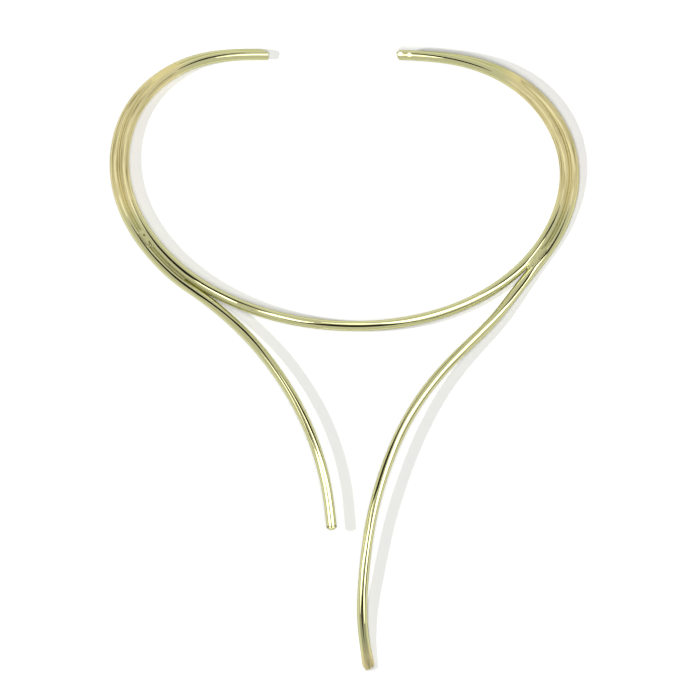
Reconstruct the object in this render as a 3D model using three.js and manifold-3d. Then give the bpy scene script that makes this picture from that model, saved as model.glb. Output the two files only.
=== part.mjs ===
/**
 * Open collar necklace of round wire, soldered into one rigid piece.
 *
 * Units are millimetres and +Z is up. The collar lies on a table, at z = 0, and the origin is under the
 * middle of its outline. Its open back points along +Y and its two drops along -Y.
 *
 * Three wires make it. The neck wire runs from the left back end round the front to the right back end.
 * On each side a drop wire lies against it, starting under it at the back end, coming round to its outer
 * side, and leaving it near the front to form a free drop. Solder fills the groove between the two wires.
 */
import * as THREE from 'three';
import { mergeVertices } from 'three/addons/utils/BufferGeometryUtils.js';
import Module from 'manifold-3d';

const WIRE_RADIUS = 1.5;
const PAIR_PITCH = 2.9; // between the centres of the two wires that lie side by side
const SEAM_RADIUS = 0.75; // of the solder that runs in the groove between them
const FILL_WIDTH = 2.4; // of a filled and filed place, across the pair
const FILL_THICKNESS = 2.84; // just under the wires' own diameter, so that they stand proud of it
const FILL_OVERLAP = 0.2; // of each block with the next

const UNTWIST_LENGTH = 87; // from a back end to where the pair lies flat
const BESIDE_ANGLE = 8; // degrees that the drop wire lies below its neighbour where the pair lies flat
const LEAD_STEP = 8; // between the points that carry a drop wire along the neck wire

const FLATTENED_REACH = 11; // of the long drop's tip
const FLATTENED_WIDTH = 1.2; // of the tip's end, in wire diameters
const FLATTENED_THICKNESS = 0.85;

const FACET_LENGTH = 3; // of the wires' straight steps
const WIRE_SIDES = 12;
const SEAM_SIDES = 6;
const TRIM_BLOCK = 12; // side of the block that cuts a wire's end

const NECK_STATIONS = [
  { x: -21.8, y: 91.2, z: 4.35 },
  { x: -45.4, y: 88.6, z: 4.9 },
  { x: -62.2, y: 74.8, z: 5.7 },
  { x: -65.8, y: 53.5, z: 6.6 },
  { x: -56.2, y: 33.9, z: 7.6 },
  { x: -39.4, y: 20.2, z: 8.8 },
  { x: -18.8, y: 12.4, z: 9.5 },
  { x: 2.9, y: 9.9, z: 8.4 },
  { x: 24.6, y: 12.5, z: 5.9 },
  { x: 44.7, y: 21.0, z: 3.2 },
  { x: 60.2, y: 36.4, z: 1.95 },
  { x: 66.0, y: 57.2, z: 4.2 },
  { x: 57.1, y: 76.8, z: 8.2 },
  { x: 38.5, y: 88.2, z: 11.2 },
  { x: 14.6, y: 91.2, z: 12.8 },
];

const SHORT_DROP_STATIONS = [
  { x: -45.3, y: 20.5, z: 8.4 },
  { x: -35.6, y: 13.0, z: 9.2 },
  { x: -26.9, y: 4.4, z: 10.1 },
  { x: -19.4, y: -5.3, z: 10.7 },
  { x: -13.2, y: -15.8, z: 10.8 },
  { x: -8.5, y: -27.1, z: 10.5 },
  { x: -5.4, y: -39.0, z: 9.9 },
  { x: -4.0, y: -49.7, z: 9.3 },
];

const LONG_DROP_STATIONS = [
  { x: 53.3, y: 22.7, z: 2.7 },
  { x: 44.6, y: 11.7, z: 4.4 },
  { x: 34.2, y: 1.5, z: 6.6 },
  { x: 24.5, y: -9.4, z: 8.6 },
  { x: 16.9, y: -21.8, z: 9.8 },
  { x: 11.4, y: -35.3, z: 9.9 },
  { x: 7.7, y: -49.5, z: 8.9 },
  { x: 5.8, y: -64.0, z: 7.0 },
  { x: 5.3, y: -78.5, z: 4.2 },
  { x: 7.6, y: -94.5, z: 1.05 },
];

// The two sides. pairLength is how far the drop wire stays with the neck wire, measured along the neck
// wire from its back end, and stackedAngle is how steeply, in degrees, it starts below the neck wire.
const SIDES = {
  left: { stackedAngle: 84, pairLength: 103, dropStations: SHORT_DROP_STATIONS },
  right: { stackedAngle: 90, pairLength: 97, dropStations: LONG_DROP_STATIONS },
};

// The filled and filed places, measured along the neck wire from that side's back end.
const FILLS = [
  { side: 'left', from: 27, to: 38 },
  { side: 'left', from: 83, to: 89 },
  { side: 'right', from: 28, to: 40 },
  { side: 'right', from: 92, to: 100 },
];

// The cuts that finish the wires' ends: a point on each cut and the way it faces, in degrees from +X
// towards +Y. Each back end has one cut across and one that takes off its outer corner.
const CUTS = [
  { end: 'left back', x: -23.0, y: 91.2, z: 3, facing: 0 },
  { end: 'left back', x: -23.2, y: 92.1, z: 3, facing: 67 },
  { end: 'right back', x: 15.7, y: 91.1, z: 11, facing: 201 },
  { end: 'right back', x: 16.0, y: 92.1, z: 11, facing: 124 },
  { end: 'long drop', x: 7.3, y: -93.1, z: 1.5, facing: -67 },
  { end: 'long drop', x: 5.8, y: -92.6, z: 1.5, facing: 211 },
  { end: 'long drop', x: 8.6, y: -92.1, z: 1.5, facing: -27 },
];

const UP = new THREE.Vector3(0, 0, 1);

const wasm = await Module();
wasm.setup();

/** A bent wire's centreline: the natural cubic spline through its stations. */
class WireRoute extends THREE.Curve {
  constructor(stations) {
    super();
    this.stations = stations.map(({ x, y, z }) => new THREE.Vector3(x, y, z));
    this.knots = [0];
    for (let i = 1; i < stations.length; i++) {
      this.knots.push(this.knots[i - 1] + this.stations[i].distanceTo(this.stations[i - 1]));
    }
    this.bends = this.solveBends();
  }

  /** The second derivative at each station, zero at both ends, by elimination down and back up. */
  solveBends() {
    const last = this.stations.length - 1;
    const bends = this.stations.map(() => new THREE.Vector3());
    const carried = [0];
    for (let i = 1; i < last; i++) {
      const before = this.knots[i] - this.knots[i - 1];
      const after = this.knots[i + 1] - this.knots[i];
      const pivot = 2 * (before + after) - before * carried[i - 1];
      carried[i] = after / pivot;
      const slopeAfter = this.stations[i + 1].clone().sub(this.stations[i]).divideScalar(after);
      const slopeBefore = this.stations[i].clone().sub(this.stations[i - 1]).divideScalar(before);
      bends[i]
        .copy(slopeAfter.sub(slopeBefore).multiplyScalar(6))
        .addScaledVector(bends[i - 1], -before)
        .divideScalar(pivot);
    }
    for (let i = last - 1; i > 0; i--) {
      bends[i].addScaledVector(bends[i + 1], -carried[i]);
    }
    return bends;
  }

  getPoint(t, target = new THREE.Vector3()) {
    const at = t * this.knots.at(-1);
    const next = Math.max(1, this.knots.findIndex((knot) => knot >= at - 1e-9));
    const span = this.knots[next] - this.knots[next - 1];
    const a = (this.knots[next] - at) / span;
    const b = 1 - a;
    const bendScale = (span * span) / 6;
    return target
      .set(0, 0, 0)
      .addScaledVector(this.stations[next - 1], a)
      .addScaledVector(this.stations[next], b)
      .addScaledVector(this.bends[next - 1], (a ** 3 - a) * bendScale)
      .addScaledVector(this.bends[next], (b ** 3 - b) * bendScale);
  }
}

const neckRoute = new WireRoute(NECK_STATIONS);

/** The angle, in radians, that the drop wire lies below the neck wire's outer side. */
function twistAngle(side, distance) {
  const eased = (1 + Math.cos(Math.PI * Math.min(distance / UNTWIST_LENGTH, 1))) / 2;
  const degrees = BESIDE_ANGLE + (side.stackedAngle - BESIDE_ANGLE) * eased;
  return THREE.MathUtils.degToRad(degrees);
}

/** The neck wire's centre at a distance from one back end, and the directions along and across the pair. */
function pairFrame(sideName, distance) {
  const side = SIDES[sideName];
  const length = neckRoute.getLength();
  const t = (sideName === 'left' ? distance : length - distance) / length;
  const centre = neckRoute.getPointAt(t);
  const along = neckRoute.getTangentAt(t);
  const outward = new THREE.Vector3().crossVectors(along, UP).normalize();
  const upward = new THREE.Vector3().crossVectors(outward, along);
  const angle = twistAngle(side, distance);
  const across = outward.multiplyScalar(Math.cos(angle)).addScaledVector(upward, -Math.sin(angle));
  return { centre, along, across };
}

/** Points that follow the neck wire at a set distance from its centre, on the drop wire's side. */
function pointsBeside(sideName, offset) {
  const { pairLength } = SIDES[sideName];
  const steps = Math.round(pairLength / LEAD_STEP);
  const points = [];
  for (let i = 0; i <= steps; i++) {
    const { centre, across } = pairFrame(sideName, (pairLength * i) / steps);
    points.push(centre.addScaledVector(across, offset));
  }
  return points;
}

/** A round bar along a route, with flat ends. */
function bar(route, radius, sides) {
  const section = new THREE.Shape().absarc(0, 0, radius, 0, 2 * Math.PI);
  return new THREE.ExtrudeGeometry(section, {
    steps: Math.round(route.getLength() / FACET_LENGTH),
    curveSegments: sides / 2,
    extrudePath: route,
    bevelEnabled: false,
  });
}

/** Spreads and thins the last stretch of a wire, as a hammer would. */
function flattenEnd(geometry, route) {
  const samples = 400;
  const centres = route.getSpacedPoints(samples);
  const spacing = route.getLength() / samples;
  const position = geometry.attributes.position;
  const point = new THREE.Vector3();
  for (let i = 0; i < position.count; i++) {
    point.fromBufferAttribute(position, i);
    const distances = centres.map((centre) => centre.distanceToSquared(point));
    const nearest = distances.indexOf(Math.min(...distances));
    const fromEnd = (samples - nearest) * spacing;
    const share = THREE.MathUtils.smoothstep(FLATTENED_REACH - fromEnd, 0, FLATTENED_REACH);
    const widen = 1 + (FLATTENED_WIDTH - 1) * share;
    const thin = 1 + (FLATTENED_THICKNESS - 1) * share;
    // The wire runs along Y here, so its length stays.
    point.sub(centres[nearest]).multiply(new THREE.Vector3(widen, 1, thin)).add(centres[nearest]);
    position.setXYZ(i, point.x, point.y, point.z);
  }
  return geometry;
}

/** Short blocks of solder that follow the groove between the two wires, filed flat just below their tops. */
function fill({ side, from, to }) {
  const count = Math.ceil((to - from) / FACET_LENGTH);
  const spacing = (to - from) / count;
  const blocks = [];
  for (let i = 0; i < count; i++) {
    const { centre, along, across } = pairFrame(side, from + (i + 0.5) * spacing);
    const face = new THREE.Vector3().crossVectors(along, across);
    const block = new THREE.BoxGeometry(spacing + FILL_OVERLAP, FILL_WIDTH, FILL_THICKNESS);
    const placed = new THREE.Matrix4().makeBasis(along, across, face);
    placed.setPosition(centre.addScaledVector(across, PAIR_PITCH / 2));
    blocks.push(block.applyMatrix4(placed));
  }
  return blocks;
}

/** A block that takes away all that lies past a cut. */
function cutter({ x, y, z, facing }) {
  const angle = THREE.MathUtils.degToRad(facing);
  const block = new THREE.BoxGeometry(TRIM_BLOCK, TRIM_BLOCK, TRIM_BLOCK);
  block.translate(TRIM_BLOCK / 2, 0, 0);
  block.rotateZ(angle);
  return block.translate(x, y, z);
}

function solid(geometry) {
  const bare = geometry.clone();
  bare.deleteAttribute('normal');
  bare.deleteAttribute('uv');
  const merged = mergeVertices(bare, 1e-4);
  return new wasm.Manifold(
    new wasm.Mesh({
      numProp: 3,
      vertProperties: new Float32Array(merged.attributes.position.array),
      triVerts: new Uint32Array(merged.index.array),
    }),
  );
}

function geometryOf(manifold) {
  const mesh = manifold.getMesh();
  const geometry = new THREE.BufferGeometry();
  geometry.setAttribute('position', new THREE.BufferAttribute(mesh.vertProperties, 3));
  geometry.setIndex(new THREE.BufferAttribute(mesh.triVerts, 1));
  return geometry;
}

/** The drop wire of one side, from its back end to its tip. */
function dropRoute(sideName) {
  return new WireRoute([...pointsBeside(sideName, PAIR_PITCH), ...SIDES[sideName].dropStations]);
}

function solderedCollar() {
  const shortDrop = dropRoute('left');
  const longDrop = dropRoute('right');
  const roundedTip = new THREE.SphereGeometry(WIRE_RADIUS, WIRE_SIDES, WIRE_SIDES / 2);
  roundedTip.translate(...shortDrop.getPoint(1));

  const seams = Object.keys(SIDES).map((sideName) =>
    bar(new WireRoute(pointsBeside(sideName, PAIR_PITCH / 2)), SEAM_RADIUS, SEAM_SIDES),
  );
  const metal = [
    bar(neckRoute, WIRE_RADIUS, WIRE_SIDES),
    bar(shortDrop, WIRE_RADIUS, WIRE_SIDES),
    flattenEnd(bar(longDrop, WIRE_RADIUS, WIRE_SIDES), longDrop),
    roundedTip,
    ...seams,
    ...FILLS.flatMap(fill),
  ];
  const joined = metal.map(solid).reduce((whole, piece) => whole.add(piece));
  return CUTS.map(cutter).map(solid).reduce((whole, block) => whole.subtract(block), joined);
}

const paleGold = new THREE.MeshStandardMaterial({
  color: 0xd6cb8c,
  roughness: 0.16,
  metalness: 1,
});

const collarMesh = new THREE.Mesh(geometryOf(solderedCollar()), paleGold);
collarMesh.name = 'soldered_collar';

const necklace = new THREE.Group();
necklace.add(collarMesh);

export default necklace;
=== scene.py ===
"""The looks of an open collar necklace of polished pale gold wire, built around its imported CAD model.

Each wire is made straight, shaped at its ends, and then bent along its route. Tables are in millimetres, as
in the CAD source, and everything in the scene is in metres.
"""

import math

import bpy
import numpy as np
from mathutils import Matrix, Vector


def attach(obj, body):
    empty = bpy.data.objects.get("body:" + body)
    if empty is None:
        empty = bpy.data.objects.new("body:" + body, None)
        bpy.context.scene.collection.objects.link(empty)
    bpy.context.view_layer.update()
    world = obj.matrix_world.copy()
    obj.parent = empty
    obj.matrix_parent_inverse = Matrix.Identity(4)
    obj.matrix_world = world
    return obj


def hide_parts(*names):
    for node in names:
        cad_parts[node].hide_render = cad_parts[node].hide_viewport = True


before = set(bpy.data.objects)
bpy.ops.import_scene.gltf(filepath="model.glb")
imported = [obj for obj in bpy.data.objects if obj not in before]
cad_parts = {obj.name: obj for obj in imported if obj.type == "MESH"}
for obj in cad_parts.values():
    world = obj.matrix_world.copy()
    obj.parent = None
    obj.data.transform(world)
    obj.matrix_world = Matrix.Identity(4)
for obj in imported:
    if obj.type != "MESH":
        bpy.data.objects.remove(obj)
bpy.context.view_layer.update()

MM = 0.001

WIRE_RADIUS = 1.5
PAIR_PITCH = 2.9  # between the centres of two soldered wires
# A pair lies one wire over the other at its back end and untwists over its first stretch, until the drop
# wire lies beside the neck wire and a few degrees lower.
UNTWIST_LENGTH = 87
BESIDE_ANGLE = 8
LEAD_STEP = 8  # between the points that a drop wire's route takes from its pair
ROUTE_SAMPLES = 4001
LENGTH_SAMPLES = 400
DIRECTION_STEP = 0.05

# Points on the wires' centrelines, as x, y and height: the neck wire's from the left back end to the right
# one, and each drop wire's from where it leaves the neck wire down to its tip.
NECK_STATIONS = [
    (-21.8, 91.2, 4.35), (-45.4, 88.6, 4.9), (-62.2, 74.8, 5.7), (-65.8, 53.5, 6.6), (-56.2, 33.9, 7.6),
    (-39.4, 20.2, 8.8), (-18.8, 12.4, 9.5), (2.9, 9.9, 8.4), (24.6, 12.5, 5.9), (44.7, 21.0, 3.2),
    (60.2, 36.4, 1.95), (66.0, 57.2, 4.2), (57.1, 76.8, 8.2), (38.5, 88.2, 11.2), (14.6, 91.2, 12.8),
]
SHORT_DROP_STATIONS = [
    (-45.3, 20.5, 8.4), (-35.6, 13.0, 9.2), (-26.9, 4.4, 10.1), (-19.4, -5.3, 10.7), (-13.2, -15.8, 10.8),
    (-8.5, -27.1, 10.5), (-5.4, -39.0, 9.9), (-4.0, -49.7, 9.3),
]
LONG_DROP_STATIONS = [
    (53.3, 22.7, 2.7), (44.6, 11.7, 4.4), (34.2, 1.5, 6.6), (24.5, -9.4, 8.6), (16.9, -21.8, 9.8),
    (11.4, -35.3, 9.9), (7.7, -49.5, 8.9), (5.8, -64.0, 7.0), (5.3, -78.5, 4.2), (7.6, -94.5, 1.05),
]
# For each side: how steeply the drop wire starts below the neck wire, in degrees, and how far along the
# neck wire the two stay together.
SIDES = {"left": (84, 103), "right": (90, 97)}


class Route:
    """A bent wire's centreline: the natural cubic spline through its stations."""

    def __init__(self, stations):
        self.stations = np.array(stations, float)
        chords = np.linalg.norm(np.diff(self.stations, axis=0), axis=1)
        self.knots = np.concatenate([[0], np.cumsum(chords)])
        self.bends = self.solve_bends(chords)
        self.samples = np.linspace(0, self.knots[-1], ROUTE_SAMPLES)
        steps = np.linalg.norm(np.diff(self.at_knot(self.samples), axis=0), axis=1)
        self.travelled = np.concatenate([[0], np.cumsum(steps)])
        self.length = self.travelled[-1]

    def solve_bends(self, chords):
        count = len(self.stations)
        system = np.eye(count)
        sides = np.zeros((count, 3))
        slopes = np.diff(self.stations, axis=0) / chords[:, None]
        for i in range(1, count - 1):
            system[i, i - 1 : i + 2] = chords[i - 1], 2 * (chords[i - 1] + chords[i]), chords[i]
            sides[i] = 6 * (slopes[i] - slopes[i - 1])
        return np.linalg.solve(system, sides)

    def at_knot(self, at):
        i = np.clip(np.searchsorted(self.knots, at, side="right") - 1, 0, len(self.stations) - 2)
        span = (self.knots[i + 1] - self.knots[i])[:, None]
        b = (at - self.knots[i])[:, None] / span
        a = 1 - b
        bend = span**2 / 6
        return (
            a * self.stations[i]
            + b * self.stations[i + 1]
            + (a**3 - a) * bend * self.bends[i]
            + (b**3 - b) * bend * self.bends[i + 1]
        )

    def points(self, distances):
        """Points at these distances along the wire."""
        return self.at_knot(np.interp(distances, self.travelled, self.samples))

    def directions(self, distances):
        at = np.asarray(distances)
        ahead = self.points(at + DIRECTION_STEP) - self.points(at - DIRECTION_STEP)
        return ahead / np.linalg.norm(ahead, axis=1)[:, None]


NECK = Route(NECK_STATIONS)


def pair_angles(side, distances):
    """How far, in radians, the drop wire lies below the neck wire's outer side."""
    stacked = SIDES[side][0]
    eased = (1 + np.cos(np.pi * np.minimum(distances / UNTWIST_LENGTH, 1))) / 2
    return np.radians(BESIDE_ANGLE + (stacked - BESIDE_ANGLE) * eased)


def points_beside(side, distances, offset):
    """Points at an offset from the neck wire's centre, towards the drop wire of that side."""
    along_neck = distances if side == "left" else NECK.length - distances
    centres = NECK.points(along_neck)
    directions = NECK.directions(along_neck)
    outward = np.cross(directions, (0, 0, 1))
    outward /= np.linalg.norm(outward, axis=1)[:, None]
    upward = np.cross(outward, directions)
    angles = pair_angles(side, distances)[:, None]
    return centres + offset * (np.cos(angles) * outward - np.sin(angles) * upward)


def drop_route(side, stations):
    pair_length = SIDES[side][1]
    steps = round(pair_length / LEAD_STEP)
    lead = points_beside(side, np.linspace(0, pair_length, steps + 1), PAIR_PITCH)
    return Route(np.concatenate([lead, stations]))


SHORT_DROP = drop_route("left", SHORT_DROP_STATIONS)
LONG_DROP = drop_route("right", LONG_DROP_STATIONS)

# --- Modelling by hand --------------------------------------------------------------------------------

WIRE_SIDES = 48
RING_CUTS = 17  # made twice over, which leaves a ring about every millimetre
RING_REACH = 0.02  # how far from a ring's own x its vertices may lie
SAME_PLACE = 0.01  # places nearer than this to a line or plane lie on it
ALONG_SHARE = 0.9  # an edge runs along an axis when this much of it does


def start_fresh():
    if bpy.context.mode != "OBJECT":
        bpy.ops.object.mode_set(mode="OBJECT")
    bpy.ops.object.select_all(action="DESELECT")


def corners(piece):
    """Every vertex of a piece, in millimetres, as rows of x, y, z."""
    flat = np.zeros(3 * len(piece.data.vertices))
    piece.data.vertices.foreach_get("co", flat)
    return flat.reshape(-1, 3) / MM


def edit(piece, kind, chosen):
    """Enters edit mode with only these vertices, edges or faces selected, given as a list of yes and no."""
    start_fresh()
    bpy.context.view_layer.objects.active = piece
    piece.select_set(True)
    mesh = piece.data
    for items in (mesh.vertices, mesh.edges, mesh.polygons):
        items.foreach_set("select", np.zeros(len(items), bool))
    {"VERT": mesh.vertices, "EDGE": mesh.edges, "FACE": mesh.polygons}[kind].foreach_set("select", chosen)
    bpy.context.tool_settings.mesh_select_mode = (kind == "VERT", kind == "EDGE", kind == "FACE")
    bpy.ops.object.mode_set(mode="EDIT")


def done():
    bpy.ops.object.mode_set(mode="OBJECT")


def edge_ends(piece):
    pairs = np.zeros(2 * len(piece.data.edges), int)
    piece.data.edges.foreach_get("vertices", pairs)
    places = corners(piece)
    return places[pairs[0::2]], places[pairs[1::2]]


def face_facts(piece):
    """The middle, in millimetres, and the normal of every face."""
    middles = np.zeros(3 * len(piece.data.polygons))
    normals = np.zeros(3 * len(piece.data.polygons))
    piece.data.polygons.foreach_get("center", middles)
    piece.data.polygons.foreach_get("normal", normals)
    return middles.reshape(-1, 3) / MM, normals.reshape(-1, 3)


def cut_across(piece, axis, cuts):
    """Subdivides every edge that runs along one axis, 0 for x, 1 for y or 2 for z."""
    first, second = edge_ends(piece)
    span = np.abs(second - first)
    edit(piece, "EDGE", span[:, axis] > ALONG_SHARE * span.sum(axis=1))
    bpy.ops.mesh.subdivide(number_cuts=cuts)
    done()


def scale_ring(piece, at, size):
    """Scales the vertices that lie at one x, about the wire's own line. Size is (x, y, z)."""
    edit(piece, "VERT", np.abs(corners(piece)[:, 0] - at) < RING_REACH)
    bpy.ops.transform.resize(value=size, center_override=(at * MM, 0, 0))
    done()


def straight_wire(name, length):
    """A round wire that lies straight along X from the origin."""
    start_fresh()
    bpy.ops.mesh.primitive_cylinder_add(
        vertices=WIRE_SIDES,
        radius=WIRE_RADIUS * MM,
        depth=length * MM,
        location=(length / 2 * MM, 0, 0),
        rotation=(0, math.radians(90), 0),
    )
    wire = bpy.context.object
    wire.name = name
    bpy.ops.object.transform_apply(location=True, rotation=True, scale=True)
    cut_across(wire, 0, RING_CUTS)
    cut_across(wire, 0, RING_CUTS)
    map_in_millimetres(wire, length)
    return wire


def map_in_millimetres(wire, length):
    """Stretches a cylinder's own map, which holds its side in its upper half, to real millimetres."""
    layer = wire.data.uv_layers.active.data
    flat = np.zeros(2 * len(layer))
    layer.foreach_get("uv", flat)
    flat[0::2] *= 2 * math.pi * WIRE_RADIUS
    flat[1::2] = (flat[1::2] - 0.5) * 2 * length
    layer.foreach_set("uv", flat)


def bend(piece, route_points, tilts=None):
    """Bends a straight piece that lies along X along a route, turned by a tilt at each of its points."""
    guide_curve = bpy.data.curves.new("guide", "CURVE")
    guide_curve.dimensions = "3D"
    guide_curve.twist_mode = "Z_UP"
    line = guide_curve.splines.new("POLY")
    line.points.add(len(route_points) - 1)
    for i, point in enumerate(line.points):
        point.co = (*(route_points[i] * MM), 1)
        point.tilt = 0 if tilts is None else tilts[i]
    guide = bpy.data.objects.new("guide", guide_curve)
    bpy.context.scene.collection.objects.link(guide)
    start_fresh()
    bpy.context.view_layer.objects.active = piece
    piece.select_set(True)
    bending = piece.modifiers.new("bending", "CURVE")
    bending.object = guide
    bending.deform_axis = "POS_X"
    bpy.ops.object.modifier_apply(modifier=bending.name)
    bpy.data.objects.remove(guide)
    return piece


def bend_along(piece, route):
    return bend(piece, route.points(np.linspace(0, route.length, round(route.length) + 1)))


# The cuts that finish the wires' ends: a point on each cut and the way it faces, in degrees from +X
# towards +Y.
LEFT_BACK_CUTS = [((-23.0, 91.2, 3), 0), ((-23.2, 92.1, 3), 67)]
RIGHT_BACK_CUTS = [((15.7, 91.1, 11), 201), ((16.0, 92.1, 11), 124)]
LONG_TIP_CUTS = [((7.3, -93.1, 1.5), -67), ((5.8, -92.6, 1.5), 211), ((8.6, -92.1, 1.5), -27)]
CUT_REACH = 9  # how near to a cut the faces are that it may divide
CUT_EDGE = 0.12  # the soft edge that filing leaves round a cut
CUT_EDGE_STEPS = 3
CUT_FACING = 0.999  # the least cosine between a cut and a face that lies in it
NICK_ABOVE = 0.3  # a nick shows only on the top of a wire, over this height above its centre
NICK_REACH = 2  # how near to a nick the faces are that it may divide
BALL_SEGMENTS, BALL_RINGS = 24, 14

# Marks of the bench. Nicks: the distance along the wire, how many lines, their spacing and their depth.
# Beads and dents: the distance along the wire, how far to its left, the radius of the ball that makes them
# and its middle's height over the surface.
NECK_NICKS = [(118.2, 9, 0.36, 0.035), (140.3, 2, 0.5, 0.05)]
SHORT_DROP_NICKS = [(172.8, 2, 0.55, 0.06)]
NECK_BEADS = [(89.4, -1.1, 0.45, -0.1), (124.9, -0.3, 0.26, -0.12), (126.4, -0.1, 0.3, -0.15)]
END_DENTS = [(311.0, -0.36, 2.4, 2.33), (308.3, -0.26, 2.4, 2.33)]


def cut_end(piece, cuts):
    """Cuts one end of a bent piece and takes off its corners, each with a flat face and a soft edge."""
    cut_faces = []
    for point, facing in cuts:
        angle = math.radians(facing)
        outwards = np.array([math.cos(angle), math.sin(angle), 0])
        middles, _ = face_facts(piece)
        edit(piece, "FACE", np.linalg.norm((middles - point)[:, :2], axis=1) < CUT_REACH)
        bpy.ops.mesh.bisect(
            plane_co=[n * MM for n in point],
            plane_no=outwards,
            use_fill=True,
            clear_outer=True,
        )
        done()
        cut_faces.append((np.array(point), outwards))
    middles, normals = face_facts(piece)
    on_cut = np.zeros(len(middles), bool)
    for point, outwards in cut_faces:
        on_plane = np.abs((middles - point) @ outwards) < SAME_PLACE
        on_cut |= on_plane & (normals @ outwards > CUT_FACING)
    rim = {key for i in np.flatnonzero(on_cut) for key in piece.data.polygons[i].edge_keys}
    edit(piece, "EDGE", [tuple(sorted(edge.vertices)) in rim for edge in piece.data.edges])
    bpy.ops.mesh.bevel(
        offset=CUT_EDGE * MM, segments=CUT_EDGE_STEPS, affect="EDGES", clamp_overlap=True
    )
    done()


def nick(wire, start, count, spacing, depth):
    """Scores short lines across the top of a straight wire, each a little valley between two rings."""
    for step in range(2 * count + 1):
        at = start + step * spacing / 2
        middles, _ = face_facts(wire)
        edit(wire, "FACE", np.abs(middles[:, 0] - at) < NICK_REACH)
        bpy.ops.mesh.bisect(plane_co=(at * MM, 0, 0), plane_no=(1, 0, 0))
        done()
        if step % 2:
            places = corners(wire)
            edit(wire, "VERT", (np.abs(places[:, 0] - at) < SAME_PLACE) & (places[:, 2] > NICK_ABOVE))
            bpy.ops.transform.translate(value=(0, 0, -depth * MM))
            done()


def work_ball(piece, place, radius, height, operation):
    """Sinks a dent or raises a bead, with a ball whose middle is at a height over a place on the piece."""
    start_fresh()
    bpy.ops.mesh.primitive_uv_sphere_add(
        segments=BALL_SEGMENTS,
        ring_count=BALL_RINGS,
        radius=radius * MM,
        location=(place + np.array([0, 0, height])) * MM,
    )
    ball = bpy.context.object
    start_fresh()
    bpy.context.view_layer.objects.active = piece
    piece.select_set(True)
    working = piece.modifiers.new("working", "BOOLEAN")
    working.object = ball
    working.operation = operation
    bpy.ops.object.modifier_apply(modifier=working.name)
    bpy.data.objects.remove(ball)


def on_wire(route, distance, across):
    """A place on top of a bent wire, at a distance along it and a little to the left of its travel."""
    centre = route.points([distance])[0]
    travel = route.directions([distance])[0]
    left = np.array([-travel[1], travel[0], 0]) / math.hypot(travel[0], travel[1])
    return centre + across * left + np.array([0, 0, math.sqrt(WIRE_RADIUS**2 - across**2)])


# --- The three wires ----------------------------------------------------------------------------------

TIP_ROUNDING = 1.38  # of the short drop's end, which leaves a flat dot in its middle
TIP_ROUNDING_STEPS = 10
FLATTENED_REACH = 11
FLATTENED_WIDTH = 1.2
FLATTENED_THICKNESS = 0.85


def neck_wire():
    wire = straight_wire("neck_wire", NECK.length)
    for facts in NECK_NICKS:
        nick(wire, *facts)
    bend_along(wire, NECK)
    cut_end(wire, LEFT_BACK_CUTS)
    cut_end(wire, RIGHT_BACK_CUTS)
    for operation, marks in (("UNION", NECK_BEADS), ("DIFFERENCE", END_DENTS)):
        for distance, across, radius, height in marks:
            work_ball(wire, on_wire(NECK, distance, across), radius, height, operation)
    return wire


def short_drop_wire():
    length = SHORT_DROP.length + WIRE_RADIUS
    wire = straight_wire("short_drop_wire", length)
    for facts in SHORT_DROP_NICKS:
        nick(wire, *facts)
    first, second = edge_ends(wire)
    edge_of_end = length - SAME_PLACE
    edit(wire, "EDGE", (first[:, 0] > edge_of_end) & (second[:, 0] > edge_of_end))
    bpy.ops.mesh.bevel(offset=TIP_ROUNDING * MM, segments=TIP_ROUNDING_STEPS, affect="EDGES")
    done()
    reach = np.linspace(0, length, round(length) + 1)
    bend(wire, SHORT_DROP.points(reach))
    cut_end(wire, LEFT_BACK_CUTS)
    return wire


def long_drop_wire():
    wire = straight_wire("long_drop_wire", LONG_DROP.length)
    rings = np.unique(corners(wire)[:, 0].round(3))
    for at in rings[rings > LONG_DROP.length - FLATTENED_REACH]:
        share = (at - LONG_DROP.length) / FLATTENED_REACH + 1
        eased = share * share * (3 - 2 * share)
        widen = 1 + (FLATTENED_WIDTH - 1) * eased
        thin = 1 + (FLATTENED_THICKNESS - 1) * eased
        scale_ring(wire, at, (1, widen, thin))
    bend_along(wire, LONG_DROP)
    cut_end(wire, RIGHT_BACK_CUTS)
    cut_end(wire, LONG_TIP_CUTS)
    return wire


# --- Solder -------------------------------------------------------------------------------------------

SEAM_HALF_WIDTH = 0.40
SEAM_EDGE_HEIGHT = 1.05  # where the solder's skin meets the wires
SEAM_MIDDLE_HEIGHT = 0.78  # at the bottom of the groove
SEAM_LENGTH_CUTS = 9  # made twice over
SEAM_WIDTH_CUTS = 7
BEND_MARGIN = 1.1  # a guide is this much longer than its bar, so that the bar's end is on it too


def solder_bar(name, length, half_width, height):
    """A straight bar that lies along X from the origin, ready to be cut across and shaped."""
    start_fresh()
    bpy.ops.mesh.primitive_cube_add(
        size=1,
        location=(length / 2 * MM, 0, 0),
        scale=(length * MM, 2 * half_width * MM, 2 * height * MM),
    )
    bar = bpy.context.object
    bar.name = name
    bpy.ops.object.transform_apply(location=True, rotation=True, scale=True)
    return bar


def bend_beside(piece, side, start, length):
    """Bends a bar of solder along the groove of a pair, from a distance along it, with its top outwards."""
    reach = length * BEND_MARGIN
    distances = np.linspace(start, start + reach, round(reach) * 2 + 1)
    turn = 1 if side == "left" else -1
    return bend(piece, points_beside(side, distances, PAIR_PITCH / 2), turn * pair_angles(side, distances))


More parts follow.
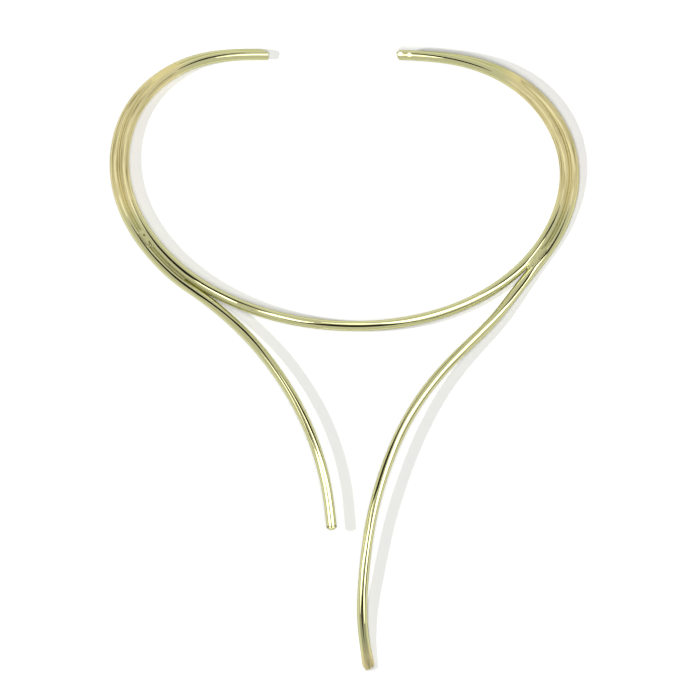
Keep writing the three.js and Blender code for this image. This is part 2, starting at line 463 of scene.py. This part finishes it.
def solder_seam(side):
    pair_length = SIDES[side][1]
    middle_line = points_beside(side, np.linspace(0, pair_length, LENGTH_SAMPLES), PAIR_PITCH / 2)
    length = np.linalg.norm(np.diff(middle_line, axis=0), axis=1).sum()
    seam = solder_bar(f"solder_seam_{side}", length, SEAM_HALF_WIDTH, SEAM_EDGE_HEIGHT)
    cut_across(seam, 0, SEAM_LENGTH_CUTS)
    cut_across(seam, 0, SEAM_LENGTH_CUTS)
    cut_across(seam, 1, SEAM_WIDTH_CUTS)
    for line in np.unique(corners(seam)[:, 1].round(3)):
        share = (line / SEAM_HALF_WIDTH) ** 2
        height = SEAM_MIDDLE_HEIGHT + (SEAM_EDGE_HEIGHT - SEAM_MIDDLE_HEIGHT) * share
        edit(seam, "VERT", np.abs(corners(seam)[:, 1] - line) < SAME_PLACE)
        bpy.ops.transform.resize(value=(1, 1, height / SEAM_EDGE_HEIGHT), center_override=(0, 0, 0))
        done()
    bend_beside(seam, side, 0, length)
    cut_end(seam, LEFT_BACK_CUTS if side == "left" else RIGHT_BACK_CUTS)
    return seam


# Where solder fills the groove and is filed flat: the side, the stretch along the neck wire from that
# side's back end, half its width, its height, and the length over which each end runs out into the groove.
FILLED_PLACES = {
    "filled_place_left_back": ("left", 26.0, 39.0, 1.7, 1.5, 3.0),
    "filled_place_left_front": ("left", 83.0, 89.5, 1.0, 1.4, 1.4),
    "filled_place_right_back": ("right", 27.0, 41.0, 1.7, 1.5, 3.0),
    "filled_place_right_front": ("right", 92.8, 101.6, 0.98, 1.41, 1.2),
}
FILL_END_WIDTH = 0.4
FILL_END_HEIGHT = 0.6
FILL_LENGTH_CUTS = 23
FILL_WIDTH_CUTS = 5

# Pits and beads in the filled places: the place's name, the distance along the neck wire from that side's
# back end, how far out from the neck wire's centre, the ball's radius, its middle's height over the fill,
# and whether it pits the fill or stands on it.
FILL_MARKS = [
    ("filled_place_left_front", 85.3, 1.15, 0.42, -0.20, "DIFFERENCE"),
    ("filled_place_left_front", 87.9, 0.95, 0.48, -0.20, "DIFFERENCE"),
    ("filled_place_right_front", 93.9, 0.80, 0.45, -0.15, "DIFFERENCE"),
    ("filled_place_right_front", 100.6, 0.95, 0.42, -0.20, "UNION"),
]


def filled_place(name, side, start, end, half_width, height, taper):
    length = end - start
    fill = solder_bar(name, length, half_width, height)
    cut_across(fill, 0, FILL_LENGTH_CUTS)
    cut_across(fill, 1, FILL_WIDTH_CUTS)
    for at in np.unique(corners(fill)[:, 0].round(3)):
        from_end = min(1, min(at, length - at) / taper)
        share = math.sin(from_end * math.pi / 2) ** 2
        wide = FILL_END_WIDTH + (1 - FILL_END_WIDTH) * share
        high = FILL_END_HEIGHT + (1 - FILL_END_HEIGHT) * share
        scale_ring(fill, at, (1, wide, high))
    bend_beside(fill, side, start, length)
    for place_name, distance, outwards, radius, rise, operation in FILL_MARKS:
        if place_name == name:
            place = points_beside(side, np.array([distance]), outwards)[0] + np.array([0, 0, height])
            work_ball(fill, place, radius, rise, operation)
    return fill


CRISP_ANGLE = 32


def smooth(piece):
    """Shades the round parts smoothly and keeps the cut ends crisp."""
    start_fresh()
    bpy.context.view_layer.objects.active = piece
    piece.select_set(True)
    bpy.ops.object.shade_smooth_by_angle(angle=math.radians(CRISP_ANGLE))


# --- Finishes -----------------------------------------------------------------------------------------


def linear(hex_colour):
    """A hex sRGB colour as the linear colour that shaders take."""
    channels = [int(hex_colour[i : i + 2], 16) / 255 for i in (0, 2, 4)]
    return (*[c / 12.92 if c <= 0.04045 else ((c + 0.055) / 1.055) ** 2.4 for c in channels], 1)


def add_node(tree, kind, settings=None, inputs=None):
    """Adds one node with its settings. An input is a number, a colour or another node's output."""
    node = tree.nodes.new(kind)
    for name, value in (settings or {}).items():
        setattr(node, name, value)
    for name, value in (inputs or {}).items():
        if isinstance(value, bpy.types.NodeSocket):
            tree.links.new(value, node.inputs[name])
        else:
            node.inputs[name].default_value = value
    return node


def new_finish(name):
    finish = bpy.data.materials.new(name)
    finish.use_nodes = True
    finish.node_tree.nodes.clear()
    return finish, finish.node_tree


POLISHED_TINT = "D0D09C"
BRUSHED_TINT = "E8DCA6"
# painted shade: the darker colour laid into the brush's deep lines
STREAK_SHADE_TINT = "9C905C"
EDGE_TINT = "8A9068"
TINT_DRIFT = 0.3  # how far the plate's blotches take the polished tint towards the brushed one

# Where the two wires of a side were brushed together after soldering, out from the middle, and where the
# flattened tip starts, in metres on the object's own axes.
BRUSHED_FROM, BRUSHED_FULL = 0.045, 0.053
BRUSHED_ABOVE, BRUSHED_FULL_ABOVE = 0.038, 0.052
TIP_FROM, TIP_FULL = -0.084, -0.091

# The wires' patterns, in millimetres round the wire, along it and deep. A polished wire's long flats are as
# wide as its radius and fade over a few centimetres.
POLISHED_ROUGHNESS = 0.04
BRUSHED_ROUGHNESS = 0.34
FACET_WIDTH = 1.5
FACET_RUN = 45
FACET_DEPTH = 0.008
DIE_LINE_SPACING = 0.45  # real die lines lie about 0.05 mm apart, so these are drawn coarser to show
DIE_LINE_RUN = 14
DIE_LINE_DEPTH = 0.005
DIE_LINES_ON_POLISH = 0.2  # how deep they still are where the wire is polished
DIE_LINE_DULLING = 0.06
SHADED_STREAKS_FROM, SHADED_STREAKS_FULL = 0.55, 0.90  # where painted shade darkens the colour along the brush's deep lines
LINE_DETAIL, FACET_DETAIL, BLOTCH_DETAIL = 3.0, 1.0, 2.0  # the octaves of noise in each kind of pattern
STREAK_NOISE_ROUGHNESS = 0.6
WIRE_DRIFT_SCALE = 60  # to the metre: the plate's tint drifts over about 17 mm

# The solder's patterns, to the metre. A fine file's strokes lie about 0.15 mm apart, so at 0.4 mm they are
# drawn coarser to show. They run for 2.5 mm, aslant, and the tint is blotched every 1.4 mm.
FILE_MARK_SCALES = (400, 2600, 400)
FILE_MARK_SLANT = 0.6
FILE_MARK_DEPTH = 0.01
FILED_ROUGHNESS, FILED_ROUGHEST = 0.46, 0.60
SOLDER_BLOTCH_SCALE = 700


def brushed_share(tree, place):
    """How brushed the surface is: 0 at the polished front and ends, 1 along the sides and at the tip."""
    axes = add_node(tree, "ShaderNodeSeparateXYZ", None, {"Vector": place})
    outwards = add_node(tree, "ShaderNodeMath", {"operation": "ABSOLUTE"}, {0: axes.outputs["X"]})
    ramp = {"interpolation_type": "SMOOTHSTEP"}
    sides = add_node(
        tree,
        "ShaderNodeMapRange",
        ramp,
        {"Value": outwards.outputs["Value"], "From Min": BRUSHED_FROM, "From Max": BRUSHED_FULL},
    )
    behind = add_node(
        tree,
        "ShaderNodeMapRange",
        ramp,
        {"Value": axes.outputs["Y"], "From Min": BRUSHED_ABOVE, "From Max": BRUSHED_FULL_ABOVE},
    )
    tip = add_node(
        tree,
        "ShaderNodeMapRange",
        ramp,
        {"Value": axes.outputs["Y"], "From Min": TIP_FROM, "From Max": TIP_FULL},
    )
    both = add_node(
        tree,
        "ShaderNodeMath",
        {"operation": "MULTIPLY"},
        {0: sides.outputs["Result"], 1: behind.outputs["Result"]},
    )
    share = add_node(
        tree,
        "ShaderNodeMath",
        {"operation": "MAXIMUM"},
        {0: both.outputs["Value"], 1: tip.outputs["Result"]},
    )
    return share.outputs["Value"]


def warmed_tint(tree, brushed, blotches):
    """The plate's colour: cool where it is polished, warmer where it is brushed, and a little uneven."""
    warm = add_node(
        tree,
        "ShaderNodeMath",
        {"operation": "MULTIPLY_ADD", "use_clamp": True},
        {0: blotches, 1: TINT_DRIFT, 2: brushed},
    )
    tint = add_node(
        tree,
        "ShaderNodeMix",
        {"data_type": "RGBA"},
        {"Factor": warm.outputs["Value"], "A": linear(POLISHED_TINT), "B": linear(BRUSHED_TINT)},
    )
    return tint.outputs["Result"]


def lengthwise_noise(tree, width, run, detail):
    """Streaks that follow a wire, from its own map, whose unit is a millimetre round it and along it."""
    around = add_node(tree, "ShaderNodeUVMap").outputs["UV"]
    stretched = add_node(
        tree,
        "ShaderNodeMapping",
        {"vector_type": "POINT"},
        {"Vector": around, "Scale": (1 / width, 1 / run, 1)},
    )
    noise = add_node(
        tree,
        "ShaderNodeTexNoise",
        {"noise_dimensions": "2D"},
        {
            "Vector": stretched.outputs["Vector"],
            "Scale": 1.0,
            "Detail": detail,
            "Roughness": STREAK_NOISE_ROUGHNESS,
        },
    )
    return noise.outputs["Fac"]


def polished_gold_plated_brass():
    """Drawn brass wire, bent, polished on a wheel and plated with pale gold.

    It is a near mirror in which long lines wander. Along the sides and at the tip it was brushed, which
    leaves a soft, warmer, streaky sheen, and painted shade darkens the colour in the brush's deep lines.
    """
    finish, tree = new_finish("polished_gold_plated_brass")
    place = add_node(tree, "ShaderNodeTexCoord").outputs["Object"]
    brushed = brushed_share(tree, place)
    die_lines = lengthwise_noise(tree, DIE_LINE_SPACING, DIE_LINE_RUN, LINE_DETAIL)
    facets = lengthwise_noise(tree, FACET_WIDTH, FACET_RUN, FACET_DETAIL)
    drift = add_node(
        tree,
        "ShaderNodeTexNoise",
        None,
        {"Vector": place, "Scale": WIRE_DRIFT_SCALE, "Detail": BLOTCH_DETAIL},
    )
    roughness = add_node(
        tree,
        "ShaderNodeMapRange",
        None,
        {"Value": brushed, "To Min": POLISHED_ROUGHNESS, "To Max": BRUSHED_ROUGHNESS},
    )
    depth = add_node(tree, "ShaderNodeMath", {"operation": "ADD"}, {0: brushed, 1: DIE_LINES_ON_POLISH})
    streaks = add_node(
        tree, "ShaderNodeMath", {"operation": "MULTIPLY"}, {0: die_lines, 1: depth.outputs["Value"]}
    )
    # painted shade: the colour darkens towards the darker streak tint where the brush's lines are deepest
    line_shade = add_node(
        tree,
        "ShaderNodeMapRange",
        None,
        {"Value": streaks.outputs["Value"], "From Min": SHADED_STREAKS_FROM, "From Max": SHADED_STREAKS_FULL},
    )
    tint = add_node(
        tree,
        "ShaderNodeMix",
        {"data_type": "RGBA"},
        {
            "Factor": line_shade.outputs["Result"],
            "A": warmed_tint(tree, brushed, drift.outputs["Fac"]),
            "B": linear(STREAK_SHADE_TINT),
        },
    )
    uneven = add_node(
        tree,
        "ShaderNodeMath",
        {"operation": "MULTIPLY_ADD"},
        {0: streaks.outputs["Value"], 1: DIE_LINE_DULLING, 2: roughness.outputs["Result"]},
    )
    waves = add_node(
        tree, "ShaderNodeBump", None, {"Height": facets, "Strength": 1.0, "Distance": FACET_DEPTH * MM}
    )
    lines = add_node(
        tree,
        "ShaderNodeBump",
        None,
        {
            "Height": streaks.outputs["Value"],
            "Strength": 1.0,
            "Distance": DIE_LINE_DEPTH * MM,
            "Normal": waves.outputs["Normal"],
        },
    )
    shader = add_node(
        tree,
        "ShaderNodeBsdfPrincipled",
        None,
        {
            "Base Color": tint.outputs["Result"],
            "Metallic": 1.0,
            "Roughness": uneven.outputs["Value"],
            "Specular Tint": linear(EDGE_TINT),
            "Normal": lines.outputs["Normal"],
        },
    )
    add_node(tree, "ShaderNodeOutputMaterial", None, {"Surface": shader.outputs["BSDF"]})
    return finish


def filed_gold_plated_solder():
    """Solder, filed level with the wires and plated too: an even satin that shows the file's marks."""
    finish, tree = new_finish("filed_gold_plated_solder")
    place = add_node(tree, "ShaderNodeTexCoord").outputs["Object"]
    brushed = brushed_share(tree, place)
    strokes = add_node(
        tree,
        "ShaderNodeMapping",
        None,
        {"Vector": place, "Rotation": (0, 0, FILE_MARK_SLANT), "Scale": FILE_MARK_SCALES},
    )
    marks = add_node(
        tree,
        "ShaderNodeTexNoise",
        None,
        {"Vector": strokes.outputs["Vector"], "Scale": 1.0, "Detail": LINE_DETAIL},
    )
    blotches = add_node(
        tree,
        "ShaderNodeTexNoise",
        None,
        {"Vector": place, "Scale": SOLDER_BLOTCH_SCALE, "Detail": BLOTCH_DETAIL},
    )
    roughness = add_node(
        tree,
        "ShaderNodeMapRange",
        None,
        {"Value": marks.outputs["Fac"], "To Min": FILED_ROUGHNESS, "To Max": FILED_ROUGHEST},
    )
    filed = add_node(
        tree,
        "ShaderNodeBump",
        None,
        {"Height": marks.outputs["Fac"], "Strength": 1.0, "Distance": FILE_MARK_DEPTH * MM},
    )
    shader = add_node(
        tree,
        "ShaderNodeBsdfPrincipled",
        None,
        {
            "Base Color": warmed_tint(tree, brushed, blotches.outputs["Fac"]),
            "Metallic": 1.0,
            "Roughness": roughness.outputs["Result"],
            "Specular Tint": linear(EDGE_TINT),
            "Normal": filed.outputs["Normal"],
        },
    )
    add_node(tree, "ShaderNodeOutputMaterial", None, {"Surface": shader.outputs["BSDF"]})
    return finish


# --- The studio ---------------------------------------------------------------------------------------

# The table's size and height in metres. It lies a hair under the collar, so that they share no plane.
TABLE_SIZE = 6.0
TABLE_HEIGHT = -0.0001
BOARD_TINT = "F6F6F6"
BOARD_ROUGHNESS = 0.9
WHITE = "FFFFFF"
TENT_SEEN = 0.76
TENT_ON_TABLE = 0.2

# The lamps' centres and sizes in millimetres, and their radiance. Both aim at the origin.
LAMP_AIM = Vector((0, 0, 0))
KEY_LAMP = ((-630, 20, 1039), (50, 50), 630)
TOP_LAMP = ((0, 0, 1500), (400, 400), 23.5)

# The camera's height and how far it sees, in metres, and the point that it looks straight down on.
CAMERA_HEIGHT = 4.0
CAMERA_FARTHEST = 20
CAMERA_AIM = (1.56, 2.7)
FRAME_WIDTH = 210  # what the picture takes in at the focus height, in millimetres
FOCUS_HEIGHT = 6
SENSOR_WIDTH = 36


def white_table():
    """A sheet of matt white board: it scatters light evenly and shows no gloss."""
    start_fresh()
    bpy.ops.mesh.primitive_plane_add(size=TABLE_SIZE, location=(0, 0, TABLE_HEIGHT))
    table = bpy.context.object
    table.name = "table"
    finish, tree = new_finish("matt_white_board")
    shader = add_node(
        tree,
        "ShaderNodeBsdfPrincipled",
        None,
        {"Base Color": linear(BOARD_TINT), "Roughness": BOARD_ROUGHNESS, "Specular IOR Level": 0.0},
    )
    add_node(tree, "ShaderNodeOutputMaterial", None, {"Surface": shader.outputs["BSDF"]})
    table.data.materials.append(finish)
    return table


def lamp(name, centre, size, radiance):
    """A soft rectangular light that lights the table and stays out of the reflections."""
    light = bpy.data.lights.new(name, "AREA")
    light.shape = "RECTANGLE"
    light.size, light.size_y = size[0] * MM, size[1] * MM
    light.energy = 4 * radiance * light.size * light.size_y  # four watts to a unit of radiance and area
    holder = bpy.data.objects.new(name, light)
    holder.location = Vector(centre) * MM
    holder.rotation_euler = (LAMP_AIM - Vector(centre)).to_track_quat("-Z", "Y").to_euler()
    holder.visible_camera = False
    holder.visible_glossy = False
    bpy.context.scene.collection.objects.link(holder)


# The cards that the polished wires mirror. Each hangs over one wire and follows it: the wire, how far above
# its centreline the card hangs, how bright it is, and its rows. A row gives the distance along the wire and
# the part of the wire's width in which the card shows, from its right edge to its left one, as -1 to 1
# across the wire as seen from above. A pale card gives a bright line and a black card a dark one.
NEAR, HIGH = 1.9, 22
CARD_STEP = 0.02  # each card hangs a little higher than the one before, so the first of two shows
PALE, SOFT, GREY, BLACK = 3.6, 1.3, 0.48, 0.02
CARD_WIDER = {PALE: 1.1, SOFT: 1, GREY: 1, BLACK: 1.7}  # blur narrows a line, so its card is wider
CARD_LIMIT = 0.62  # past this part of the width a wire mirrors what lies low beside it
CARD_START, CARD_END = -2500, -1500  # where a card is laid out, clear of all else, before it is hung
CARD_LENGTH_CUTS = 7
CARD_ROW_GAP = 0.5  # rows lie farther apart than this along the wire, so only lengthwise edges do too
CARDS = {
    "neck_left_end_black": (NECK, NEAR, BLACK, [
        (8, -0.46, -0.42), (12, -0.44, -0.37), (16, -0.38, -0.24), (20, -0.33, -0.16),
        (25, -0.24, -0.12), (29, -0.18, -0.14),
    ]),
    "neck_left_end_pale": (NECK, NEAR, PALE, [
        (-4, -0.20, 0.02), (6, -0.18, 0.02), (12, -0.10, 0.02), (17, -0.03, 0.00),
    ]),
    "neck_fork_black": (NECK, NEAR, BLACK, [
        (74, 0.26, 0.30), (79, 0.14, 0.20), (84, 0.08, 0.20), (90, -0.02, 0.18), (96, -0.04, 0.20),
        (102, -0.05, 0.22), (106, 0.08, 0.30), (110, 0.19, 0.35), (115, 0.31, 0.45), (121, 0.30, 0.44),
        (126, 0.32, 0.42), (131, 0.36, 0.39),
    ]),
    "neck_fork_pale": (NECK, NEAR, PALE, [
        (104, -0.03, 0.00), (108, -0.08, 0.04), (112, -0.06, 0.10), (117, -0.08, 0.12),
        (120, -0.04, 0.06),
    ]),
    "neck_bow_pale_left": (NECK, NEAR, PALE, [
        (126, 0.02, 0.06), (131, -0.04, 0.23), (135, -0.05, 0.22), (140, -0.06, 0.12),
        (144, 0.10, 0.14),
    ]),
    "neck_bow_black": (NECK, NEAR, BLACK, [
        (134, -0.22, -0.20), (140, -0.23, -0.16), (145, -0.16, 0.00), (149, -0.13, 0.10),
        (157, -0.16, 0.08), (164, -0.18, 0.04), (170, -0.24, -0.14), (175, -0.26, -0.22),
    ]),
    "neck_bow_black_right": (NECK, NEAR, BLACK, [
        (174, -0.34, -0.32), (181, -0.42, -0.36), (190, -0.42, -0.36), (198, -0.45, -0.41),
        (203, -0.52, -0.50),
    ]),
    "neck_bow_pale_right": (NECK, NEAR, PALE, [
        (146, 0.38, 0.41), (151, 0.35, 0.43), (157, 0.34, 0.45), (163, 0.28, 0.38), (167, 0.14, 0.34),
        (172, -0.03, 0.28), (180, -0.05, 0.31), (188, -0.05, 0.30), (196, -0.12, 0.24),
        (200, -0.18, 0.14), (204, -0.24, 0.02), (208, -0.30, -0.07), (212, -0.36, -0.16),
        (215, -0.14, 0.02), (219, -0.08, 0.06), (222, -0.01, 0.02),
    ]),
    "right_fork_black": (NECK, NEAR, BLACK, [
        (196, 0.40, 0.42), (200, 0.26, 0.34), (204, 0.14, 0.26), (208, 0.06, 0.19), (212, 0.04, 0.16),
        (216, 0.09, 0.17), (220, 0.16, 0.26), (224, 0.10, 0.26), (228, 0.01, 0.16), (233, 0.00, 0.04),
    ]),
    "neck_right_end_black": (NECK, NEAR, BLACK, [
        (283, -0.02, 0.02), (287, -0.07, 0.05), (292, -0.11, 0.03), (296, -0.18, -0.04),
        (300, -0.27, -0.12), (304, -0.36, -0.27), (309, -0.42, -0.38),
    ]),
    "right_end_dot_pale": (NECK, NEAR, PALE, [(307.9, -0.44, 0.16), (308.8, -0.44, 0.16)]),
    "right_end_last_dot_pale": (NECK, NEAR, PALE, [(310.6, -0.48, 0.12), (311.5, -0.48, 0.12)]),
    "neck_right_end_pale": (NECK, NEAR, PALE, [(298, 0.00, 0.02), (302, -0.05, 0.07), (316, -0.08, 0.08)]),
    "short_drop_black": (SHORT_DROP, NEAR, BLACK, [
        (82, 0.00, 0.03), (86, -0.01, 0.07), (90, -0.01, 0.11), (96, -0.07, 0.09), (102, -0.07, 0.12),
        (108, -0.12, 0.11), (114, -0.19, 0.05), (117, -0.10, 0.10), (121, 0.00, 0.18),
        (126, 0.10, 0.27), (132, 0.18, 0.39), (138, 0.17, 0.33), (142, 0.08, 0.20), (146, 0.02, 0.10),
        (151, -0.05, 0.05), (158, -0.04, 0.02), (174, -0.02, 0.01), (182, -0.02, 0.02),
        (188, -0.05, 0.03), (204, -0.06, 0.04),
    ]),
    "short_drop_black_left": (SHORT_DROP, NEAR, BLACK, [
        (147, 0.38, 0.40), (152, 0.37, 0.43), (157, 0.36, 0.47), (162, 0.36, 0.52), (168, 0.40, 0.60),
        (173, 0.50, 0.62), (178, 0.59, 0.62),
    ]),
    "short_drop_black_right": (SHORT_DROP, NEAR, BLACK, [
        (158, -0.22, -0.20), (163, -0.24, -0.19), (168, -0.30, -0.18), (171, -0.28, -0.19),
        (174, -0.22, -0.20),
    ]),
    "short_drop_pale_right": (SHORT_DROP, NEAR, PALE, [
        (140, -0.20, -0.19), (146, -0.23, -0.17), (151, -0.25, -0.16), (156, -0.33, -0.26),
        (162, -0.40, -0.36), (170, -0.42, -0.40), (173, -0.28, -0.20), (177, -0.40, -0.13),
        (181, -0.45, -0.12), (204, -0.46, -0.14),
    ]),
    "short_drop_pale_left": (SHORT_DROP, NEAR, PALE, [
        (148, 0.19, 0.20), (152, 0.16, 0.22), (162, 0.16, 0.22), (168, 0.16, 0.27), (173, 0.18, 0.35),
        (177, 0.08, 0.41), (181, 0.03, 0.44), (186, 0.09, 0.50), (204, 0.12, 0.50),
    ]),
    "long_drop_black": (LONG_DROP, NEAR, BLACK, [
        (83, -0.03, -0.01), (88, -0.06, 0.02), (93, -0.04, 0.12), (98, -0.02, 0.18), (101, -0.08, 0.06),
        (104, -0.20, -0.12), (107, -0.02, 0.12), (110, 0.12, 0.31), (113, 0.08, 0.24),
        (117, 0.02, 0.12), (120, -0.08, -0.02), (125, -0.22, -0.20),
    ]),
    "long_drop_pale": (LONG_DROP, NEAR, PALE, [
        (99, 0.20, 0.22), (102, 0.03, 0.21), (104, 0.00, 0.25), (106, 0.16, 0.34), (108, 0.36, 0.46),
        (111, 0.42, 0.52), (116, 0.36, 0.50), (119, 0.16, 0.40), (122, -0.01, 0.28), (125, -0.12, 0.20),
        (128, -0.20, 0.12), (134, -0.18, 0.14), (140, -0.07, 0.25), (146, -0.03, 0.28),
        (152, 0.02, 0.34), (158, -0.04, 0.32), (164, -0.16, 0.25), (170, -0.15, 0.25),
        (176, -0.03, 0.38), (182, 0.06, 0.43), (188, 0.16, 0.47), (194, 0.20, 0.48), (200, 0.26, 0.49),
        (206, 0.24, 0.45), (212, 0.20, 0.38), (218, 0.22, 0.38), (224, 0.32, 0.46), (229, 0.38, 0.42),
    ]),
    "long_drop_black_left": (LONG_DROP, NEAR, BLACK, [
        (136, 0.57, 0.58), (140, 0.55, 0.62), (146, 0.56, 0.60), (158, 0.55, 0.60), (170, 0.56, 0.60),
        (180, 0.60, 0.61), (204, 0.60, 0.61), (212, 0.54, 0.61), (219, 0.54, 0.61), (228, 0.57, 0.58),
    ]),
    "long_drop_black_right": (LONG_DROP, NEAR, BLACK, [
        (136, -0.60, -0.58), (140, -0.61, -0.56), (152, -0.60, -0.57), (158, -0.62, -0.56),
        (163, -0.63, -0.54), (167, -0.62, -0.48), (172, -0.62, -0.42), (176, -0.58, -0.36),
        (182, -0.52, -0.30), (187, -0.50, -0.28), (191, -0.58, -0.44), (195, -0.61, -0.57),
        (205, -0.61, -0.60),
    ]),
    "long_drop_black_middle": (LONG_DROP, NEAR, BLACK, [
        (190, 0.00, 0.02), (195, 0.02, 0.10), (205, 0.03, 0.10), (212, 0.03, 0.12), (218, 0.00, 0.12),
        (222, -0.06, 0.12), (226, -0.13, 0.07), (231, -0.08, 0.01), (235, -0.04, -0.02),
    ]),
    "long_drop_pale_right": (LONG_DROP, NEAR, PALE, [
        (190, -0.40, -0.38), (194, -0.42, -0.34), (197, -0.32, -0.20), (200, -0.26, -0.07),
        (206, -0.38, -0.09), (212, -0.52, -0.27), (218, -0.42, -0.26), (222, -0.36, -0.30),
        (226, -0.34, -0.32),
    ]),
    "tip_grey": (LONG_DROP, HIGH, GREY, [(229, -0.04, 0.04), (235, -0.50, 0.50), (252, -0.50, 0.50)]),
    "left_groove_pale": (NECK, HIGH, SOFT, [
        (46, -0.06, -0.01), (54, -0.18, 0.10), (70, -0.20, 0.12), (82, -0.06, -0.01),
    ]),
    "right_groove_pale": (NECK, HIGH, SOFT, [
        (230, -0.08, -0.02), (240, -0.20, 0.14), (258, -0.20, 0.14), (272, -0.06, -0.01),
    ]),
}


def card_edge(above, across):
    """How far beside the wire a card at this height reaches when it shows up to this place across it."""
    across = min(max(across, -CARD_LIMIT), CARD_LIMIT)
    lean = math.asin(across)
    return WIRE_RADIUS * across + (above - WIRE_RADIUS * math.cos(lean)) * math.tan(2 * lean)


def card(name, order, route, clearance, brightness, rows):
    """Hangs one card over its wire, where only reflections show it."""
    sheet = CARD_END - CARD_START
    start_fresh()
    bpy.ops.mesh.primitive_grid_add(
        x_subdivisions=len(rows) - 1,
        y_subdivisions=1,
        size=sheet * MM,
        location=((CARD_START + CARD_END) / 2 * MM, 0, 0),
    )
    piece = bpy.context.object
    piece.name = name
    bpy.ops.object.transform_apply(location=True, rotation=True, scale=True)
    above = clearance + CARD_STEP * order
    for start, (distance, *edges) in zip(np.linspace(CARD_START, CARD_END, len(rows)), rows):
        middle = (edges[0] + edges[1]) / 2
        half = (edges[1] - edges[0]) / 2 * CARD_WIDER[brightness]
        right, left = card_edge(above, middle - half), card_edge(above, middle + half)
        edit(piece, "VERT", np.abs(corners(piece)[:, 0] - start) < 1)
        bpy.ops.transform.resize(value=(1, (left - right) / sheet, 1), center_override=(start * MM, 0, 0))
        bpy.ops.transform.translate(value=((distance - start) * MM, (left + right) / 2 * MM, 0))
        done()
    first, second = edge_ends(piece)
    edit(piece, "EDGE", np.abs(second - first)[:, 0] > CARD_ROW_GAP)
    bpy.ops.mesh.subdivide(number_cuts=CARD_LENGTH_CUTS)
    done()
    points = route.points(np.linspace(0, route.length, round(route.length) + 1))
    points[:, 2] += above
    bend(piece, points)
    finish, tree = new_finish(name)
    glow = add_node(tree, "ShaderNodeEmission", None, {"Color": linear(WHITE), "Strength": brightness})
    add_node(tree, "ShaderNodeOutputMaterial", None, {"Surface": glow.outputs["Emission"]})
    finish.cycles.emission_sampling = "NONE"
    piece.data.materials.append(finish)
    piece.visible_camera = False
    piece.visible_diffuse = False
    piece.visible_shadow = False


def tent():
    """A light tent: an even pale surround for the reflections, which lights the table only a little."""
    world = bpy.data.worlds.new("light_tent")
    bpy.context.scene.world = world
    world.use_nodes = True
    tree = world.node_tree
    tree.nodes.clear()
    on_table = add_node(tree, "ShaderNodeLightPath").outputs["Is Diffuse Ray"]
    cloth = add_node(
        tree, "ShaderNodeMapRange", None, {"Value": on_table, "To Min": TENT_SEEN, "To Max": TENT_ON_TABLE}
    )
    background = add_node(
        tree,
        "ShaderNodeBackground",
        None,
        {"Color": linear(WHITE), "Strength": cloth.outputs["Result"]},
    )
    add_node(tree, "ShaderNodeOutputWorld", None, {"Surface": background.outputs["Background"]})


def camera():
    data = bpy.data.cameras.new("camera")
    data.sensor_width = SENSOR_WIDTH
    data.lens = SENSOR_WIDTH * (CAMERA_HEIGHT / MM - FOCUS_HEIGHT) / FRAME_WIDTH
    data.clip_end = CAMERA_FARTHEST
    eye = bpy.data.objects.new("camera", data)
    eye.location = (CAMERA_AIM[0] * MM, CAMERA_AIM[1] * MM, CAMERA_HEIGHT)
    bpy.context.scene.collection.objects.link(eye)
    bpy.context.scene.camera = eye


# --- The collar ---------------------------------------------------------------------------------------

pieces = [neck_wire(), short_drop_wire(), long_drop_wire(), solder_seam("left"), solder_seam("right")]
pieces += [filled_place(name, *facts) for name, facts in FILLED_PLACES.items()]
wire_finish, solder_finish = polished_gold_plated_brass(), filed_gold_plated_solder()
for piece in pieces:
    smooth(piece)
    piece.data.materials.append(wire_finish if piece.name.endswith("_wire") else solder_finish)
    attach(piece, "root")
    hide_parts("soldered_collar")

white_table()
tent()
for order, (name, facts) in enumerate(CARDS.items()):
    card(name, order, *facts)
lamp("key_lamp", *KEY_LAMP)
lamp("top_lamp", *TOP_LAMP)
camera()
bpy.context.scene.view_settings.view_transform = "Standard"
